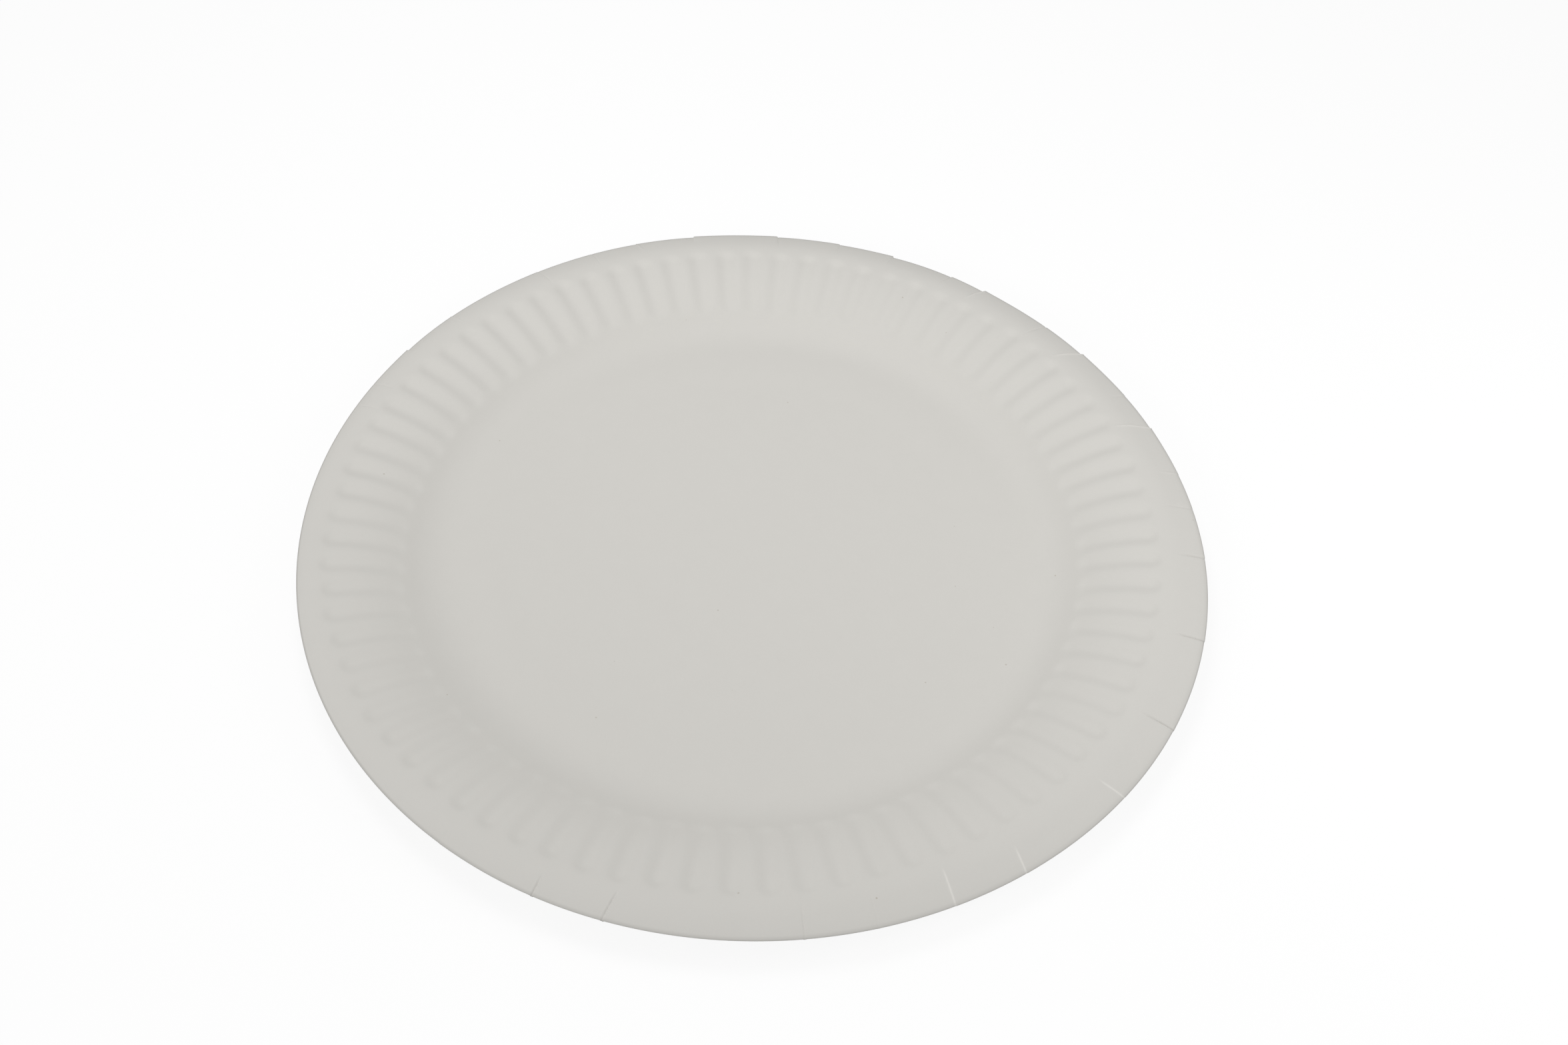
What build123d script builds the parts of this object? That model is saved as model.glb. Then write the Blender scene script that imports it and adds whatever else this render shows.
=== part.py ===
from build123d import *
import math
import os

# A round paper plate, pressed from one sheet of white board, with a fluted rim.
# Millimetres, +Z up. The origin is on the table, under the middle of the plate's length and width.

# The board, and its outline: a circle that the press drew slightly oval and three-cornered.
# The amounts are how far the outline swings out and in, and the turns where it swings out.
board = 0.4
outline_radius = 114.9
oval_amount = 0.83
oval_turn = -62.4
corner_amount = 0.56
corner_turn = -8.3
outline_points = 60

# The press closed a little to one side of the blank, so the rim is wider on the +X side.
form_offset = -2.5

# How far the form runs on past the outline, before it is cut.
trimming = 3

# The pressed form, from the outline inwards: the rim, the crown, and the foot that ends in the
# flat floor. The radii are those of the board's upper side.
rim_width = 7.9
rim_slope = 15
rim_radius = 16
crown_radius = 43.7
wall_slope = 31
foot_radius = 18.4
crest_radius = outline_radius - rim_width
floor_radius = crest_radius - (foot_radius + crown_radius) * math.sin(math.radians(wall_slope))

# The flutes: grooves with round bottoms and ends, pressed down across the crown.
flute_count = 80
flute_first = -12.2
flute_depth = 0.45
half_pitch = math.pi / flute_count

# The share of the way to its sunk control points that a flute reaches in its middle.
flute_share = 3 / 4 * 15 / 16


def bend(start, direction, radius, slope):
    """The control points of a smooth curve along an arc, and its direction at the end."""
    turn = math.radians(slope)
    reach = radius * 4 / 3 * math.tan(abs(turn) / 4)
    chord = radius * 2 * math.sin(abs(turn) / 2)
    end = start + direction.rotate(Axis.Z, slope / 2) * chord
    onwards = direction.rotate(Axis.Z, slope)
    return [start, start + direction * reach, end - onwards * reach, end], onwards


def form(depth):
    """The foot, crown, rim and lip of the form, at a depth under the board's upper side."""
    foot, up = bend(Vector(floor_radius, board - depth), Vector(1, 0), foot_radius + depth, wall_slope)
    crown, level = bend(foot[-1], up, crown_radius - depth, -wall_slope)
    rim, down = bend(crown[-1], level, rim_radius - depth, -rim_slope)
    past_outline = outline_radius + oval_amount + corner_amount + abs(form_offset) + trimming
    lip = [rim[-1], rim[-1] + down * ((past_outline - rim[-1].X) / down.X)]
    return foot, crown, rim, lip


def raised(points):
    """The same smooth curve, with one control point more."""
    n = len(points)
    inner = [points[i - 1] * (i / n) + points[i] * (1 - i / n) for i in range(1, n)]
    return [points[0], *inner, points[-1]]


def across(point, sunk=(0, 0), down=Vector(0, 0, 0)):
    """Points straight across one pitch of the form, between its ridges, each sunk by its share."""
    ridge = Vector(point.X * math.cos(half_pitch), -point.X * math.sin(half_pitch), point.Y)
    step = Vector(0, -2 * ridge.Y / (len(sunk) - 1))
    return [ridge + step * i + down * share for i, share in enumerate(sunk)]


def gore(line):
    """One plain pitch of the form, along a line of its section."""
    return Face.make_bezier_surface([across(point) for point in line])


def fluted_gore(crown):
    """One pitch of the crown, with its flute sunk between the ridges."""
    line = raised(raised(crown))
    pull = flute_depth / flute_share
    rows = []
    for i, point in enumerate(line):
        slope = math.radians(wall_slope) * (1 - i / (len(line) - 1))
        sunk = pull if 0 < i < len(line) - 1 else 0
        down = Vector(math.sin(slope), 0, -math.cos(slope))
        rows.append(across(point, (0, sunk, sunk, 0), down))
    return Face.make_bezier_surface(rows)


def all_round(faces):
    """The faces of one pitch, repeated for each flute."""
    turns = [flute_first + i * 360 / flute_count for i in range(flute_count)]
    return [Rot(0, 0, turn) * face for turn in turns for face in faces]


def side(depth):
    """All faces of one side of the board."""
    foot, crown, rim, lip = form(depth)
    pitch = [gore(foot), fluted_gore(crown), gore(rim), gore(lip)]
    floor = RegularPolygon(floor_radius, flute_count, rotation=flute_first + 180 / flute_count)
    return [Pos(0, 0, board - depth) * floor.face(), *all_round(pitch)]


def outline():
    """The face inside the cut outline."""
    points = []
    for i in range(outline_points):
        turn = 360 * i / outline_points
        oval = oval_amount * math.cos(math.radians(2 * (turn - oval_turn)))
        corner = corner_amount * math.cos(math.radians(3 * (turn - corner_turn)))
        points.append(Vector(outline_radius + oval + corner).rotate(Axis.Z, turn))
    return make_face(Spline(points, periodic=True))


def plate():
    """The whole plate: the pressed board, cut to its outline."""
    edge = gore([form(0)[-1][-1], form(board)[-1][-1]])
    pressed = Solid(Shell([*side(0), *side(board), *all_round([edge])]))
    cutter = extrude(outline(), outline_radius, both=True)
    cut = (Pos(form_offset, 0, 0) * pressed) & cutter
    middle = cut.bounding_box().center()
    return Pos(-middle.X, -middle.Y, 0) * cut


os.makedirs("parts", exist_ok=True)
export_step(plate(), "parts/plate.step")
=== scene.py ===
import math
import random
from collections import namedtuple

import bmesh
import bpy
from mathutils import Matrix, Vector


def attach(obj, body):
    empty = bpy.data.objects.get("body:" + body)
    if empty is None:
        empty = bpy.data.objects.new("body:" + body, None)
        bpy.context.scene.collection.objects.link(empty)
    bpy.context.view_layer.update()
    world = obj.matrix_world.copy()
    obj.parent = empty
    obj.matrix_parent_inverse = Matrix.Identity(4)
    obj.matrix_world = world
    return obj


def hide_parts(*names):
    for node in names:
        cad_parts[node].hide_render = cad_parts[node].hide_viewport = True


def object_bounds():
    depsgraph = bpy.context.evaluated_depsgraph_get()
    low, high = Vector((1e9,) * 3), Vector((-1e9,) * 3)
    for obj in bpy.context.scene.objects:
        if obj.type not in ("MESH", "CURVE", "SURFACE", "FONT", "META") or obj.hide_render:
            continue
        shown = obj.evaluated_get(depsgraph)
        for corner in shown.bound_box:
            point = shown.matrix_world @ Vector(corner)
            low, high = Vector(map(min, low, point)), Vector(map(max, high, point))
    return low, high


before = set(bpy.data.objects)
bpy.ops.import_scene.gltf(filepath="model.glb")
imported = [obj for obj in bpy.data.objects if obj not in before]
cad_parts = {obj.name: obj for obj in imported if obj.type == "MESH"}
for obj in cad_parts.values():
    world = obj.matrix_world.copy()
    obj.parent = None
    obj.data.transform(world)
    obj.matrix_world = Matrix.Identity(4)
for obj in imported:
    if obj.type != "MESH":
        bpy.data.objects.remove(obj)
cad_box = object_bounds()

bl_info = {
    "name": "Paper plate",
    "version": (1, 0, 0),
    "blender": (4, 5, 0),
    "location": "View3D > Sidebar > Paper plate",
    "description": "A round white paper plate with a fluted rim, and a plain stage to show it on",
    "category": "Object",
}

MM = 0.001

Crease = namedtuple("Crease", "bearing inner_bearing inner_radius fold step paleness")

# Where the rim buckled into small pleats as it was pressed, anticlockwise from +X round the form's
# axis. Each has its bearing at the edge and at its inner end in degrees, the radius of that end in
# millimetres, the height of the fold (below zero is a groove) and how far the cut edge steps out at
# it, both in millimetres, and the share of the full painted highlight that the fold shows: a paler
# line painted along the raised fold in place of the light it catches.
CREASES = tuple(Crease(*row) for row in (
    (6.6, 6.7, 109.6, -0.19, 0.05, 0),
    (12.7, 12.9, 111.6, 0.13, 0.1, 0),
    (21.2, 22.5, 105.4, 0.27, -0.3, 0.3),
    (27.8, 27.9, 112.0, -0.15, 0.1, 0),
    (37.2, 38.8, 106.6, 0.27, -0.5, 0.3),
    (44.4, 44.9, 106.8, -0.19, -0.1, 0),
    (55.3, 56.4, 107.5, 0.23, -0.8, 0.3),
    (60.9, 61.3, 110.0, -0.15, -0.35, 0),
    (70.2, 70.4, 108.0, 0.19, 0.65, 0),
    (78.4, 78.2, 110.0, -0.11, 0.35, 0),
    (87.7, 87.3, 108.6, -0.19, 0.45, 0),
    (100.2, 100.4, 111.0, -0.08, -0.5, 0),
    (108.8, 108.1, 109.5, 0.11, -0.15, 0),
    (115.6, 115.5, 107.0, -0.08, 0, 0),
    (124.2, 123.9, 105.4, -0.1, 0.1, 0),
    (139.5, 139.4, 108.0, 0.08, 0.1, 0),
    (148.3, 148.2, 110.0, -0.05, 0.45, 0),
    (156.4, 156.0, 104.5, -0.06, 0, 0),
    (160.9, 160.6, 104.5, -0.06, 0, 0),
    (236.8, 236.8, 110.0, -0.06, 0.05, 0),
    (249.2, 249.4, 109.0, -0.24, 0, 0),
    (257.4, 258.4, 107.0, -0.23, 0, 0),
    (279.2, 279.3, 107.5, -0.14, 0, 0),
    (287.2, 287.2, 108.0, -0.06, 0, 0),
    (295.9, 296.4, 107.0, 0.08, 0.05, 1),
    (304.8, 305.4, 110.2, 0.08, 0.05, 1),
    (320.1, 319.4, 110.2, 0.08, 0.05, 1),
    (331.5, 331.0, 108.5, -0.28, 0.1, 0),
    (345.5, 344.7, 110.0, -0.3, 0.1, 0),
    (358.5, 358.1, 109.5, -0.28, 0.1, 0),
))
# A fold has a third of its height left at this distance from its middle, and it rises over this
# share of its length, from its inner end.
FOLD_WIDTH = 0.22 * MM
FOLD_FADE = 0.4
# At a crease the cut edge steps out within the first of these lengths, the step dies away to either
# side over the second, and past the third the crease changes nothing.
STEP_WIDTH = 0.1 * MM
STEP_FADE = 6 * MM
STEP_REACH = 25 * MM
# The board is cut into narrow faces at these distances from a crease's middle, in millimetres. The
# margins say how far from the crease's middle and its inner end the faces that are cut may lie, and
# points nearer to a cut than the tolerance are left whole.
FOLD_CUTS = (-0.6, -0.35, -0.15, 0.0, 0.15, 0.35, 0.6)
SIDE_MARGIN = 2 * MM
INNER_MARGIN = 1 * MM
CUT_TOLERANCE = 0.005 * MM

# The flat disc is laid in bands. Each has its outer radius in millimetres and its number of rings.
DISC_BANDS = (
    (0, 1), (55, 5), (75, 11), (84, 5), (89, 6), (101.5, 5), (106.5, 8), (113.5, 5), (117.6, 5),
    (118, 1))
DISC_RADIUS = DISC_BANDS[-1][0] * MM
# It has this many faces round for each flute, and points closer than this are one.
FACES_PER_FLUTE = 4
MERGE_DISTANCE = 0.001 * MM
# Outside this radius the faces are cut again, by so many cuts across the edges that run round the
# disc. Those are the edges whose ends lie equally far out, within the tolerance.
FINE_RADIUS = 83.9 * MM
FINE_CUTS = 3
ROUND_TOLERANCE = 0.01 * MM

# The flutes lie between the first two radii, and the lip and the creases outside the third.
FLUTES_FROM = 82 * MM
FLUTES_TO = 109 * MM
LIP_FROM = 103 * MM
# At this radius a flute has the width and depth in the settings. Further out it is wider, by this
# share of the radius's own growth, and deeper, by this many millimetres for each millimetre.
FLUTE_MIDDLE = 94 * MM
FLUTE_WIDENING = 0.77
FLUTE_DEEPENING = 0.0118
# How much the flutes differ: their turn in degrees, their depth as a share, their ends' radii in
# millimetres.
TURN_SPREAD = 0.06
DEPTH_SPREAD = 0.06
END_SPREAD = 0.2

# The faint ring on the floor lies between these radii, and each of its sides is this wide.
RING_FROM = 58 * MM
RING_TO = 75 * MM
RING_SIDE = 7 * MM

# Faces that meet at more than this angle, as they do at the cut edge, show a sharp edge.
SHARP_ANGLE = math.radians(50)

# The stage's floor is this far below the plate, so that the two never show through each other.
FLOOR_GAP = 0.05 * MM

# The photograph's camera: its place, its lens and sensor in millimetres, and in degrees how far it
# looks down from level and how far it leans to the side.
CAMERA_PLACE = (7.14 * MM, -287.65 * MM, 340.99 * MM)
CAMERA_LENS = 39.64
CAMERA_SENSOR = 36
CAMERA_DOWN = 49.02
CAMERA_LEAN = 2.48


def linear(code):
    """A #RRGGBB colour as the linear values that shaders take."""
    parts = [int(code[i:i + 2], 16) / 255 for i in (1, 3, 5)]
    return [p / 12.92 if p <= 0.04045 else ((p + 0.055) / 1.055) ** 2.4 for p in parts] + [1]


class PlateSettings(bpy.types.PropertyGroup):
    """Sizes and colours of the plate."""
    board: bpy.props.FloatProperty(
        name="Board", description="Thickness of the board", default=0.4 * MM, unit="LENGTH")
    outline_radius: bpy.props.FloatProperty(
        name="Outline", description="Mean radius of the cut outline",
        default=114.9 * MM, unit="LENGTH")
    oval_amount: bpy.props.FloatProperty(
        name="Oval", description="How far the outline swings out to an oval",
        default=0.83 * MM, unit="LENGTH")
    oval_turn: bpy.props.FloatProperty(
        name="Oval turn", description="Bearing where the oval swings out",
        default=math.radians(-62.4), subtype="ANGLE")
    corner_amount: bpy.props.FloatProperty(
        name="Corners", description="How far the outline swings out to three faint corners",
        default=0.56 * MM, unit="LENGTH")
    corner_turn: bpy.props.FloatProperty(
        name="Corner turn", description="Bearing of one of the corners",
        default=math.radians(-8.3), subtype="ANGLE")
    form_offset: bpy.props.FloatProperty(
        name="Form offset",
        description="Where the form's axis lies along X from the outline's middle",
        default=-2.5 * MM, unit="LENGTH")
    floor_radius: bpy.props.FloatProperty(
        name="Floor radius", description="Radius of the flat floor", default=75 * MM, unit="LENGTH")
    foot_radius: bpy.props.FloatProperty(
        name="Foot bend", description="Radius of the bend from the floor into the wall",
        default=18.4 * MM, unit="LENGTH")
    wall_slope: bpy.props.FloatProperty(
        name="Wall slope", description="Steepest slope of the wall",
        default=math.radians(31), subtype="ANGLE")
    crown_radius: bpy.props.FloatProperty(
        name="Crown bend", description="Radius of the bend from the wall over to the crest",
        default=43.7 * MM, unit="LENGTH")
    rim_radius: bpy.props.FloatProperty(
        name="Rim bend", description="Radius of the bend from the crest down to the lip",
        default=16 * MM, unit="LENGTH")
    rim_slope: bpy.props.FloatProperty(
        name="Rim slope", description="Slope of the lip, downwards",
        default=math.radians(15), subtype="ANGLE")
    edge_slope: bpy.props.FloatProperty(
        name="Edge slope", description="How much more the last of the lip slopes, at the cut edge",
        default=math.radians(12), subtype="ANGLE")
    edge_reach: bpy.props.FloatProperty(
        name="Edge reach", description="Width of the band that slopes more towards the cut edge",
        default=3 * MM, unit="LENGTH")
    ring_height: bpy.props.FloatProperty(
        name="Floor ring", description="Height of the faint raised ring just inside the foot",
        default=0.17 * MM, unit="LENGTH")
    flute_count: bpy.props.IntProperty(
        name="Flutes", description="Number of pressed grooves round the wall", default=80, min=8)
    flute_first: bpy.props.FloatProperty(
        name="First flute", description="Bearing of one flute's middle",
        default=math.radians(-12.2), subtype="ANGLE")
    flute_depth: bpy.props.FloatProperty(
        name="Flute depth", description="Depth of a flute", default=0.62 * MM, unit="LENGTH")
    flute_start: bpy.props.FloatProperty(
        name="Flute start", description="Radius where a flute is half as deep, on the wall",
        default=86.5 * MM, unit="LENGTH")
    flute_end: bpy.props.FloatProperty(
        name="Flute end", description="Radius where a flute is half as deep, near the crest",
        default=104.9 * MM, unit="LENGTH")
    flute_width: bpy.props.FloatProperty(
        name="Flute width",
        description="Width of a flute at half its depth, in the middle of its length",
        default=3.62 * MM, unit="LENGTH")
    flute_edge: bpy.props.FloatProperty(
        name="Flute edge", description="Half the width over which a flute's side slopes down",
        default=2.29 * MM, unit="LENGTH")
    flute_end_edge: bpy.props.FloatProperty(
        name="Flute end edge",
        description="Half the width over which a flute's round end slopes down",
        default=1.8 * MM, unit="LENGTH")
    seed: bpy.props.IntProperty(
        name="Seed", description="Number that picks the small differences between flutes",
        default=7)
    # Painted highlight along the raised folds, in place of the light they catch.
    fold_highlight_strength: bpy.props.FloatProperty(
        name="Fold paling", description="How much paler the board is along its palest folds",
        default=0.16, subtype="FACTOR", min=0, max=1)
    # Painted shade along the cut edge, in place of the shade the edge lies in.
    cut_band: bpy.props.FloatProperty(
        name="Cut band", description="Width of the greyer line along the cut edge",
        default=0.5 * MM, unit="LENGTH")
    cut_shade_strength: bpy.props.FloatProperty(
        name="Cut greying", description="How much darker the board is at the cut edge",
        default=0.3, subtype="FACTOR", min=0, max=1)
    board_colour: bpy.props.FloatVectorProperty(
        name="Board colour", description="Colour of the uncoated board", size=4, subtype="COLOR",
        default=linear("#D0CEC9"))
    speck_colour: bpy.props.FloatVectorProperty(
        name="Speck colour", description="Colour of the few dark fibres in the board", size=4,
        subtype="COLOR", default=linear("#B4ADA2"))


class StageSettings(bpy.types.PropertyGroup):
    """Light, floor and camera."""
    floor_size: bpy.props.FloatProperty(
        name="Floor size", description="Width of the floor", default=8, unit="LENGTH")
    floor_colour: bpy.props.FloatVectorProperty(
        name="Floor colour", description="Colour of the lit floor", size=4, subtype="COLOR",
        default=linear("#E6E6E6"))
    backdrop_colour: bpy.props.FloatVectorProperty(
        name="Backdrop colour", description="Colour of the backdrop and of the light", size=4,
        subtype="COLOR", default=linear("#FFFFFF"))
    far_colour: bpy.props.FloatVectorProperty(
        name="Far colour",
        description="What the camera sees past the floor, as pale as the floor is there", size=4,
        subtype="COLOR", default=linear("#F8F8F8"))
    backdrop_share: bpy.props.FloatProperty(
        name="Backdrop share",
        description="How much of the floor's look is plain backdrop, and not lit",
        default=0.9, subtype="FACTOR", min=0, max=1)
    sky_strength: bpy.props.FloatProperty(
        name="Sky", description="Strength of the even light from all round", default=0.393)
    key_power: bpy.props.FloatProperty(
        name="Key light", description="Power of the soft light at the front left",
        default=6.47, unit="POWER")
    right_power: bpy.props.FloatProperty(
        name="Right light", description="Power of the soft light at the right",
        default=0.404, unit="POWER")
    top_power: bpy.props.FloatProperty(
        name="Top light", description="Power of the soft light overhead",
        default=0.621, unit="POWER")


def add(tree, kind, inputs, **settings):
    """Adds a node, with its settings, and feeds its inputs with values or other nodes' outputs."""
    node = tree.nodes.new(kind)
    for name, value in settings.items():
        setattr(node, name, value)
    for key, value in inputs.items():
        if isinstance(value, bpy.types.NodeSocket):
            tree.links.new(value, node.inputs[key])
        else:
            node.inputs[key].default_value = value
    return node


def spread(tree, noise, low, high):
    """Spreads the middle part of a noise over the values from low to high."""
    values = add(tree, "ShaderNodeMapRange", {
        "Value": noise, "From Min": 0.3, "From Max": 0.7, "To Min": low, "To Max": high})
    return values.outputs["Result"]


def product(tree, first, second):
    """Multiplies two values."""
    return add(tree, "ShaderNodeMath", {0: first, 1: second}, operation="MULTIPLY").outputs[0]


def painted(tree, name, change):
    """A factor of 1 that changes by up to this much where the mesh has the named value."""
    paint = add(tree, "ShaderNodeAttribute", {}, attribute_name=name).outputs["Fac"]
    return add(tree, "ShaderNodeMath", {
        0: paint, 1: change, 2: 1.0}, operation="MULTIPLY_ADD").outputs[0]


def board_material(p):
    """Uncoated bleached paperboard, pressed dry between heated dies. The eye gets a dull, very even
    warm white, faint clouds from how the fibres settled, a fine tooth and a few darker fibres. A
    painted highlight runs along the raised folds, and painted shade along the cut edge."""
    material = bpy.data.materials.new("Uncoated pressed paperboard")
    material.use_nodes = True
    tree = material.node_tree
    tree.nodes.clear()
    place = add(tree, "ShaderNodeTexCoord", {}).outputs["Object"]
    # Slightly thicker and thinner places in the board, about 6 mm across.
    clouds = add(tree, "ShaderNodeTexNoise", {
        "Vector": place, "Scale": 1 / (6 * MM), "Detail": 4.0, "Roughness": 0.6}).outputs["Fac"]
    # Real fibres are a fiftieth of a millimetre thick. The coarsest are drawn twelve times as
    # thick, so that they still show at the photograph's distance.
    fibres = add(tree, "ShaderNodeTexNoise", {
        "Vector": place, "Scale": 1 / (0.25 * MM), "Detail": 3.0, "Roughness": 0.65,
        "Distortion": 1.2}).outputs["Fac"]
    # A slight unevenness that the dies leave, 1.6 mm across.
    tooth = add(tree, "ShaderNodeTexNoise", {
        "Vector": place, "Scale": 1 / (1.6 * MM), "Detail": 2.0}).outputs["Fac"]
    shade = product(tree, spread(tree, clouds, 0.995, 1.004), spread(tree, fibres, 0.985, 1.015))
    # Painted highlight: paler along the raised folds, in place of the light they catch.
    with_fold_highlight = product(tree, shade, painted(tree, "fold_painted_highlight", p.fold_highlight_strength))
    # Painted shade: a thin darker line along the cut edge, in place of the shade it lies in.
    cut_shade = product(tree, with_fold_highlight, painted(tree, "cut_edge_painted_shade", -p.cut_shade_strength))
    board = add(tree, "ShaderNodeVectorMath", {
        0: p.board_colour[:3], "Scale": cut_shade}, operation="SCALE")
    # Darker bundles of fibres, a third of a millimetre across. The pattern's cells are 9 mm, and
    # the middles of only a few lie in the surface, so the specks are rare.
    specks = add(tree, "ShaderNodeTexVoronoi", {
        "Vector": place, "Scale": 1 / (9 * MM)}).outputs["Distance"]
    speck = add(tree, "ShaderNodeMapRange", {
        "Value": specks, "From Min": 0.018, "From Max": 0.03, "To Min": 0.7, "To Max": 0.0})
    colour = add(tree, "ShaderNodeMix", {
        0: speck.outputs["Result"], 6: board.outputs["Vector"],
        7: p.speck_colour}, data_type="RGBA")
    uneven = add(tree, "ShaderNodeMath", {0: tooth, 1: fibres}, operation="ADD")
    bump = add(tree, "ShaderNodeBump", {
        "Strength": 0.35, "Distance": 0.02 * MM, "Height": uneven.outputs[0]})
    shader = add(tree, "ShaderNodeBsdfPrincipled", {
        "Base Color": colour.outputs[2], "Roughness": spread(tree, fibres, 0.78, 0.92),
        "Specular IOR Level": 0.25, "Normal": bump.outputs["Normal"]})
    add(tree, "ShaderNodeOutputMaterial", {"Surface": shader.outputs["BSDF"]})
    return material


def form_height(p, radius):
    """Height of the board's upper side, at a distance from the form's axis."""
    rise = math.sin(p.wall_slope)
    foot_end = p.floor_radius + p.foot_radius * rise
    crest = foot_end + p.crown_radius * rise
    lip_start = crest + p.rim_radius * math.sin(p.rim_slope)
    if radius < p.floor_radius:
        return p.board
    if radius < foot_end:
        out = radius - p.floor_radius
        return p.board + p.foot_radius - math.sqrt(p.foot_radius ** 2 - out ** 2)
    top = p.board + (p.foot_radius + p.crown_radius) * (1 - math.cos(p.wall_slope))
    if radius < crest:
        return top - p.crown_radius + math.sqrt(p.crown_radius ** 2 - (crest - radius) ** 2)
    if radius < lip_start:
        return top - p.rim_radius + math.sqrt(p.rim_radius ** 2 - (radius - crest) ** 2)
    drop = p.rim_radius * (1 - math.cos(p.rim_slope))
    return top - drop - (radius - lip_start) * math.tan(p.rim_slope)


def eased(share):
    """A smooth step from 0 to 1."""
    x = min(max(share, 0), 1)
    return x ** 3 * (x * (6 * x - 15) + 10)


def ring_rise(p, radius):
    """Height of the faint ring on the floor."""
    inner_side = eased((radius - RING_FROM) / RING_SIDE)
    return p.ring_height * inner_side * eased((RING_TO - radius) / RING_SIDE)


def flute_sink(p, flutes, radius, bearing):
    """Depth of the flutes at a point: each is a groove with round ends."""
    pitch = math.tau / p.flute_count
    index = round((bearing - p.flute_first) / pitch)
    turn, depth, start, end = flutes[index % p.flute_count]
    off = radius * math.sin(bearing - p.flute_first - index * pitch - turn)
    half = p.flute_width / 2 * (1 + FLUTE_WIDENING * (radius - FLUTE_MIDDLE) / FLUTE_MIDDLE)
    along = min(max(radius, start + half), end - half)
    away = math.hypot(off, radius - along)
    endwards = ((radius - along) / away) ** 2 if away else 0
    reach = p.flute_edge + (p.flute_end_edge - p.flute_edge) * endwards
    deepening = FLUTE_DEEPENING * (radius - FLUTE_MIDDLE)
    return (depth + deepening) * eased(0.5 + (half - away) / reach / 2)


def outline_radius(p, bearing):
    """Distance from the outline's own middle to the cut edge."""
    oval = p.oval_amount * math.cos(2 * (bearing - p.oval_turn))
    return p.outline_radius + oval + p.corner_amount * math.cos(3 * (bearing - p.corner_turn))


def edge_radius(p, bearing):
    """Distance from the form's axis to the cut edge."""
    reach = p.outline_radius
    for _ in range(5):
        x = reach * math.cos(bearing) + p.form_offset
        y = reach * math.sin(bearing)
        reach += outline_radius(p, math.atan2(y, x)) - math.hypot(x, y)
    return reach


def flat_disc(p):
    """A flat disc in rings: coarse on the floor, fine where the flutes and the rim will be."""
    bm = bmesh.new()
    ends = [bm.verts.new((radius * MM, 0, 0)) for radius, _ in DISC_BANDS]
    spans = [bm.edges.new(pair) for pair in zip(ends, ends[1:])]
    for span, (_, rings) in zip(spans, DISC_BANDS[1:]):
        bmesh.ops.subdivide_edges(bm, edges=[span], cuts=rings - 1)
    bmesh.ops.rotate(
        bm, verts=bm.verts, cent=(0, 0, 0), matrix=Matrix.Rotation(p.flute_first, 3, "Z"))
    bmesh.ops.spin(
        bm, geom=bm.verts[:] + bm.edges[:], cent=(0, 0, 0), axis=(0, 0, 1), angle=math.tau,
        steps=FACES_PER_FLUTE * p.flute_count, use_merge=True)
    bmesh.ops.remove_doubles(bm, verts=bm.verts, dist=MERGE_DISTANCE)
    round_edges = []
    for edge in bm.edges:
        inner, outer = sorted(vert.co.length for vert in edge.verts)
        if inner > FINE_RADIUS and outer - inner < ROUND_TOLERANCE:
            round_edges.append(edge)
    bmesh.ops.subdivide_edges(bm, edges=round_edges, cuts=FINE_CUTS, use_grid_fill=True)
    return bm


def stretch_rim(p, bm):
    """Moves the rings outside the crest so that the last one is the cut outline."""
    crest = p.floor_radius + (p.foot_radius + p.crown_radius) * math.sin(p.wall_slope)
    for vert in bm.verts:
        radius = vert.co.length
        if radius > crest:
            edge = edge_radius(p, math.atan2(vert.co.y, vert.co.x))
            share = (radius - crest) / (DISC_RADIUS - crest)
            vert.co *= (crest + share * (edge - crest)) / radius


def crease_line(p, crease):
    """The two ends of a crease, on the flat disc."""
    outer, inner = math.radians(crease.bearing), math.radians(crease.inner_bearing)
    outer_radius, inner_radius = edge_radius(p, outer), crease.inner_radius * MM
    return (Vector((math.cos(outer), math.sin(outer), 0)) * outer_radius,
            Vector((math.cos(inner), math.sin(inner), 0)) * inner_radius)


def cut_creases(p, bm):
    """Cuts the rim beside each crease, so that the narrow fold has points to be shaped by."""
    for crease in CREASES:
        outer, inner = crease_line(p, crease)
        line = (outer - inner).normalized()
        side = Vector((-line.y, line.x, 0))
        near = []
        for face in bm.faces:
            spot = face.calc_center_median()
            beyond = (spot - inner).dot(line) > -INNER_MARGIN
            beside = abs((spot - inner).dot(side)) < SIDE_MARGIN
            if beyond and beside and spot.dot(line) > 0:
                near.append(face)
        for offset in FOLD_CUTS:
            parts = set(near)
            for face in near:
                parts.update(face.verts)
                parts.update(face.edges)
            cut = bmesh.ops.bisect_plane(
                bm, geom=list(parts), dist=CUT_TOLERANCE, plane_co=inner + side * offset * MM,
                plane_no=side)
            near = [item for item in cut["geom"] if isinstance(item, bmesh.types.BMFace)]


def crease_moves(lines, spot):
    """How far the creases lift and push out a point of the rim, and its painted highlight."""
    rise, push, pale = 0, 0, 0
    for outer, inner, fold, step, paleness in lines:
        line = outer - inner
        along = (spot - inner).dot(line) / line.length_squared
        off = line.cross(spot - inner).z / line.length
        if along < 0 or abs(off) > STEP_REACH:
            continue
        strength = eased(along / FOLD_FADE) * math.exp(-(off / FOLD_WIDTH) ** 2)
        rise += fold * strength
        pale += paleness * strength
        side = math.tanh(off / STEP_WIDTH) * math.exp(-abs(off) / STEP_FADE)
        push += step / 2 * eased(along) * side
    return rise, push, pale


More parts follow.
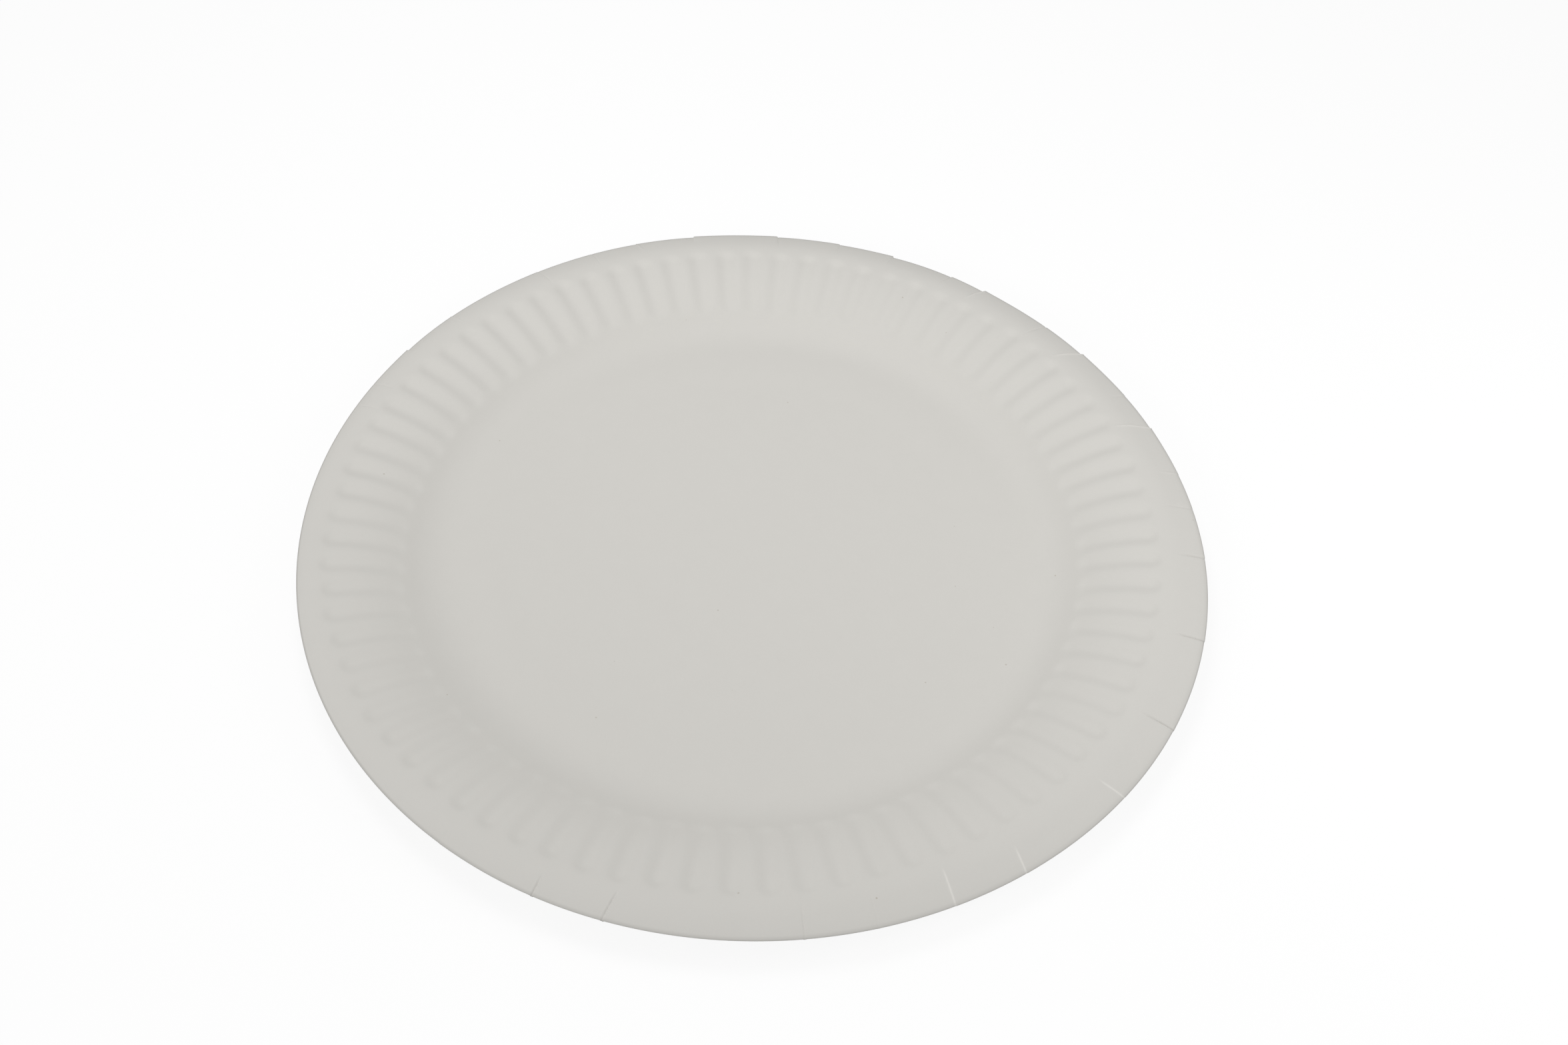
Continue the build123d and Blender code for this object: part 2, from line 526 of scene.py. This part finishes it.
def differing_flutes(p):
    """Each flute's turn from its even place, its depth, and the radii of its two ends."""
    draw = random.Random(p.seed)
    flutes = []
    for _ in range(p.flute_count):
        turn = math.radians(draw.gauss(0, TURN_SPREAD))
        depth = p.flute_depth * (1 + draw.gauss(0, DEPTH_SPREAD))
        start = p.flute_start + draw.gauss(0, END_SPREAD) * MM
        end = p.flute_end + draw.gauss(0, END_SPREAD) * MM
        flutes.append((turn, depth, start, end))
    return flutes


def shape(p, bm):
    """Lifts the flat disc to the pressed form, with its ring, flutes, lip and creases."""
    flutes = differing_flutes(p)
    lines = []
    for crease in CREASES:
        outer, inner = crease_line(p, crease)
        lines.append((outer, inner, crease.fold * MM, crease.step * MM, crease.paleness))
    # Painted highlight along the raised folds, in place of the light they catch.
    paleness = bm.verts.layers.float.new("fold_painted_highlight")
    # Painted shade along the cut edge, darkest at the edge itself.
    edge_shade_layer = bm.verts.layers.float.new("cut_edge_painted_shade")
    for vert in bm.verts:
        radius = vert.co.length
        bearing = math.atan2(vert.co.y, vert.co.x)
        height = form_height(p, radius) + ring_rise(p, radius)
        if FLUTES_FROM < radius < FLUTES_TO:
            height -= flute_sink(p, flutes, radius, bearing)
        if radius > LIP_FROM:
            inwards = max(edge_radius(p, bearing) - radius, 0)
            near = max(p.edge_reach - inwards, 0)
            height -= math.tan(p.edge_slope) * near ** 2 / p.edge_reach / 2
            # Painted shade, fading inwards from the cut edge over the cut band.
            vert[edge_shade_layer] = max(1 - inwards / p.cut_band, 0)
            rise, push, vert[paleness] = crease_moves(lines, vert.co)
            height += rise
            vert.co *= 1 + push / radius
        vert.co.z = height


class PAPERPLATE_OT_plate(bpy.types.Operator):
    """Makes the plate: one sheet of board, pressed into floor, wall, flutes and rim"""
    bl_idname = "paperplate.plate"
    bl_label = "Plate"

    def execute(self, context):
        p = context.scene.paper_plate
        bm = flat_disc(p)
        stretch_rim(p, bm)
        cut_creases(p, bm)
        shape(p, bm)
        bmesh.ops.recalc_face_normals(bm, faces=bm.faces)
        if sum(face.normal.z for face in bm.faces) < 0:
            bmesh.ops.reverse_faces(bm, faces=bm.faces)
        bmesh.ops.solidify(bm, geom=bm.faces[:], thickness=p.board)
        # The outline's middle comes from the solid, so that both stand in one frame.
        middle = (cad_box[0] + cad_box[1]) / 2
        for axis in (0, 1):
            places = [vert.co[axis] for vert in bm.verts]
            shift = Vector((0, 0, 0))
            shift[axis] = middle[axis] - (min(places) + max(places)) / 2
            bmesh.ops.translate(bm, verts=bm.verts, vec=shift)
        for face in bm.faces:
            face.smooth = True
        for edge in bm.edges:
            edge.smooth = len(edge.link_faces) == 2 and edge.calc_face_angle() < SHARP_ANGLE
        mesh = bpy.data.meshes.new("Plate")
        bm.to_mesh(mesh)
        bm.free()
        mesh.materials.append(board_material(p))
        plate = bpy.data.objects.new("Plate", mesh)
        context.scene.collection.objects.link(plate)
        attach(plate, "root")
        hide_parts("plate")
        return {"FINISHED"}


def floor_material(s):
    """Seamless matt paper backdrop. The eye gets plain white, with the object's shadow faint."""
    material = bpy.data.materials.new("White seamless paper backdrop")
    material.use_nodes = True
    tree = material.node_tree
    tree.nodes.clear()
    lit = add(tree, "ShaderNodeBsdfDiffuse", {"Color": s.floor_colour})
    shaded = add(tree, "ShaderNodeBsdfDiffuse", {"Color": s.backdrop_colour})
    plain = add(tree, "ShaderNodeEmission", {"Color": s.backdrop_colour, "Strength": 1.0})
    seen = add(tree, "ShaderNodeMixShader", {
        0: s.backdrop_share, 1: shaded.outputs["BSDF"], 2: plain.outputs["Emission"]})
    path = add(tree, "ShaderNodeLightPath", {})
    mixed = add(tree, "ShaderNodeMixShader", {
        0: path.outputs["Is Camera Ray"], 1: lit.outputs["BSDF"], 2: seen.outputs["Shader"]})
    add(tree, "ShaderNodeOutputMaterial", {"Surface": mixed.outputs["Shader"]})
    return material


def make_sky(scene, s):
    """Even white light from all round, and the floor's own tone where the camera looks past it."""
    world = bpy.data.worlds.new("Sky")
    world.use_nodes = True
    tree = world.node_tree
    tree.nodes.clear()
    light = add(tree, "ShaderNodeBackground", {
        "Color": s.backdrop_colour, "Strength": s.sky_strength})
    plain = add(tree, "ShaderNodeBackground", {"Color": s.far_colour, "Strength": 1.0})
    path = add(tree, "ShaderNodeLightPath", {})
    mixed = add(tree, "ShaderNodeMixShader", {
        0: path.outputs["Is Camera Ray"], 1: light.outputs[0], 2: plain.outputs[0]})
    add(tree, "ShaderNodeOutputWorld", {"Surface": mixed.outputs[0]})
    scene.world = world


def make_light(name, distance, bearing, rise, size, power):
    """A soft round light on the middle of the plate. Its bearing and rise are in degrees."""
    data = bpy.data.lights.new(name, "AREA")
    data.shape = "DISK"
    data.size = size
    data.energy = power
    light = bpy.data.objects.new(name, data)
    place = Vector((distance, 0, 0))
    place.rotate(Matrix.Rotation(math.radians(-rise), 3, "Y"))
    place.rotate(Matrix.Rotation(math.radians(bearing), 3, "Z"))
    light.location = place
    light.rotation_euler = place.to_track_quat("Z", "Y").to_euler()
    light.visible_camera = False
    bpy.context.scene.collection.objects.link(light)
    return light


def make_camera(scene):
    """The photograph's camera: in front of the plate, looking down on it, leaning slightly."""
    data = bpy.data.cameras.new("Camera")
    data.sensor_width = CAMERA_SENSOR
    data.lens = CAMERA_LENS
    camera = bpy.data.objects.new("Camera", data)
    tilt = Matrix.Rotation(math.radians(90 - CAMERA_DOWN), 4, "X")
    lean = Matrix.Rotation(math.radians(CAMERA_LEAN), 4, "Z")
    camera.matrix_world = Matrix.Translation(CAMERA_PLACE) @ tilt @ lean
    scene.collection.objects.link(camera)
    scene.camera = camera


class PAPERPLATE_OT_stage(bpy.types.Operator):
    """Makes the stage: a plain floor, soft even light and the camera"""
    bl_idname = "paperplate.stage"
    bl_label = "Stage"

    def execute(self, context):
        s = context.scene.paper_plate_stage
        bm = bmesh.new()
        bmesh.ops.create_grid(bm, x_segments=1, y_segments=1, size=s.floor_size / 2)
        bmesh.ops.translate(bm, verts=bm.verts, vec=(0, 0, -FLOOR_GAP))
        mesh = bpy.data.meshes.new("Floor")
        bm.to_mesh(mesh)
        bm.free()
        mesh.materials.append(floor_material(s))
        floor = bpy.data.objects.new("Floor", mesh)
        context.scene.collection.objects.link(floor)
        make_sky(context.scene, s)
        make_light(
            "Key light", distance=1.5, bearing=221.5, rise=24.7, size=0.6, power=s.key_power)
        make_light(
            "Right light", distance=0.4, bearing=352, rise=32.5, size=0.2, power=s.right_power)
        make_light(
            "Top light", distance=0.4, bearing=128, rise=72.4, size=0.2, power=s.top_power)
        make_camera(context.scene)
        context.scene.view_settings.view_transform = "Standard"
        return {"FINISHED"}


class PAPERPLATE_PT_panel(bpy.types.Panel):
    """Lists the operators and their settings"""
    bl_idname = "PAPERPLATE_PT_panel"
    bl_label = "Paper plate"
    bl_space_type = "VIEW_3D"
    bl_region_type = "UI"
    bl_category = "Paper plate"

    def draw(self, context):
        for operator, settings in (
                ("paperplate.plate", context.scene.paper_plate),
                ("paperplate.stage", context.scene.paper_plate_stage)):
            self.layout.operator(operator)
            # The first two properties are Blender's own.
            for name in settings.bl_rna.properties.keys()[2:]:
                self.layout.prop(settings, name)


CLASSES = (
    PlateSettings, StageSettings, PAPERPLATE_OT_plate, PAPERPLATE_OT_stage, PAPERPLATE_PT_panel)


def register():
    """Makes the settings, operators and panel known to Blender."""
    for cls in CLASSES:
        bpy.utils.register_class(cls)
    bpy.types.Scene.paper_plate = bpy.props.PointerProperty(type=PlateSettings)
    bpy.types.Scene.paper_plate_stage = bpy.props.PointerProperty(type=StageSettings)


def unregister():
    """Takes them away again."""
    del bpy.types.Scene.paper_plate_stage
    del bpy.types.Scene.paper_plate
    for cls in reversed(CLASSES):
        bpy.utils.unregister_class(cls)


def main():
    """Makes the plate and its stage."""
    register()
    bpy.ops.paperplate.plate()
    bpy.ops.paperplate.stage()


if __name__ == "__main__":
    main()
